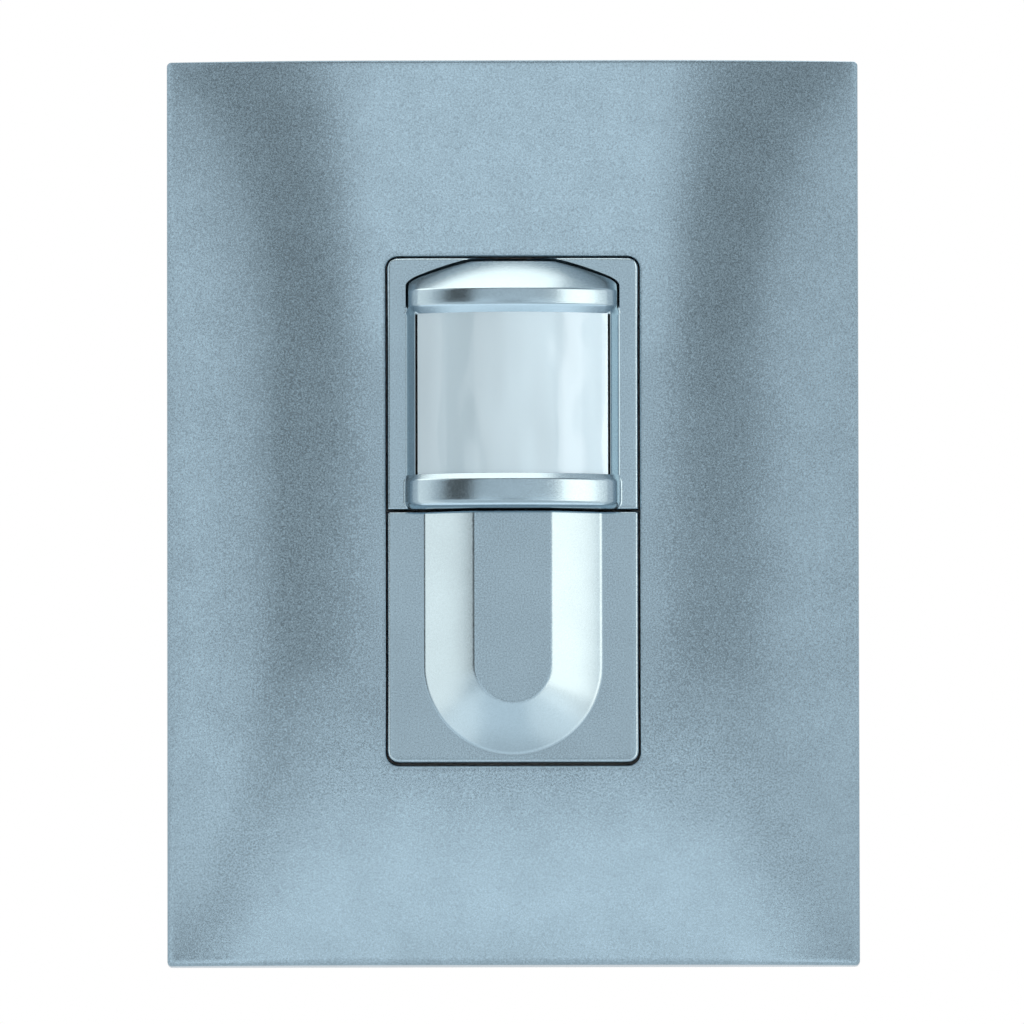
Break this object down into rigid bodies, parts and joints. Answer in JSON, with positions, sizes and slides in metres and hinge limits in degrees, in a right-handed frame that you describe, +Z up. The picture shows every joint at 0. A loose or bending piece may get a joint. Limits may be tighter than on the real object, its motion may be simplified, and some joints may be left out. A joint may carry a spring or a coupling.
{
  "type": "motion sensor light switch",
  "caption": "Wall switch with a motion sensor: pillow-shaped silver plate, lantern-shaped sensor head with a milky lens, and a push pad with a raised U.",
  "frame": {"origin": "on the wall plane, midway between the two wall screws", "axes": "front faces -Y, +Z is up, +X is to the right as seen from the front"},
  "size_m": [0.09, 0.0516, 0.118],
  "materials": {
    "plate_paint": "grained silver metallic paint on moulded plastic",
    "front_paint": "smooth satin silver metallic paint on moulded plastic",
    "lens_plastic": "milky polished polyethylene",
    "frame_plastic": "plain moulded",
    "case_plastic": "plain moulded",
    "shroud_plastic": "plain moulded",
    "white_plastic": "plain moulded",
    "black_plastic": "plain moulded",
    "trimmer_plastic": "plain moulded",
    "terminal_plastic": "plain moulded",
    "relay_plastic": "plain moulded",
    "lamp_plastic": "clear tinted",
    "filter_window": "polished filter",
    "film_box": "plain moulded",
    "can_sleeve": "shrink sleeve",
    "varistor_coat": "dipped coat",
    "resistor_coat": "dipped coat",
    "photocell": "dipped coat",
    "circuit_board": "solder mask",
    "nickel_can": "nickel plated",
    "zinc_steel": "zinc plated",
    "spring_steel": "bright drawn wire",
    "pin_brass": "gold flash",
    "cage_brass": "plain"
  },
  "bodies": {
    "case": {"wall_plate": "plate_paint", "support_frame": "frame_plastic", "front_housing": "case_plastic", "rear_housing": "case_plastic", "housing_screws": "zinc_steel", "sensor_bezel": "front_paint", "fresnel_lens": "lens_plastic", "lens_retainer": "shroud_plastic", "pad_spring": "spring_steel", "sensor_board": "circuit_board", "board_screws": "zinc_steel", "pir_spacer": "white_plastic", "pir_can": "nickel_can", "pir_window": "filter_window", "light_sensor": "photocell", "status_led": "lamp_plastic", "control_chip": "black_plastic", "switch_body": "black_plastic", "time_trimmer_body": "trimmer_plastic", "light_trimmer_body": "trimmer_plastic", "power_board": "circuit_board", "relay": "relay_plastic", "film_capacitor": "film_box", "filter_capacitor": "can_sleeve", "varistor": "varistor_coat", "fuse_resistor": "resistor_coat", "bridge_rectifier": "black_plastic", "header_strip": "black_plastic", "header_pins": "pin_brass", "terminal_block": "terminal_plastic", "terminal_cages": "cage_brass", "terminal_screws": "zinc_steel"},
    "pad": {"push_pad": "front_paint"},
    "stem": {"switch_stem": "white_plastic"},
    "time_rotor": {"time_trimmer_rotor": "white_plastic"},
    "light_rotor": {"light_trimmer_rotor": "white_plastic"}
  },
  "joints": [
    {"name": "pad_hinge", "type": "hinge", "parent": "case", "child": "pad", "pos_m": [0, -0.0046, -0.00215], "axis": [1, 0, 0], "range_deg": [0, 3], "stiffness_Nm_per_rad": 0.6, "springref_deg": -1.15, "deforming": ["pad_spring"]},
    {"name": "stem_slide", "type": "slide", "parent": "case", "child": "stem", "axis": [0, 1, 0], "range_m": [0, 0.0004]},
    {"name": "time_trim", "type": "hinge", "parent": "case", "child": "time_rotor", "pos_m": [-0.0095, -0.0032, -0.0192], "axis": [0, -1, 0], "range_deg": [-135, 135]},
    {"name": "light_trim", "type": "hinge", "parent": "case", "child": "light_rotor", "pos_m": [0.0095, -0.0032, -0.0192], "axis": [0, -1, 0], "range_deg": [-135, 135]}
  ],
  "couplings": [
    {"joint": "stem_slide", "follows": "pad_hinge", "m_per_rad": 0.0076}
  ]
}
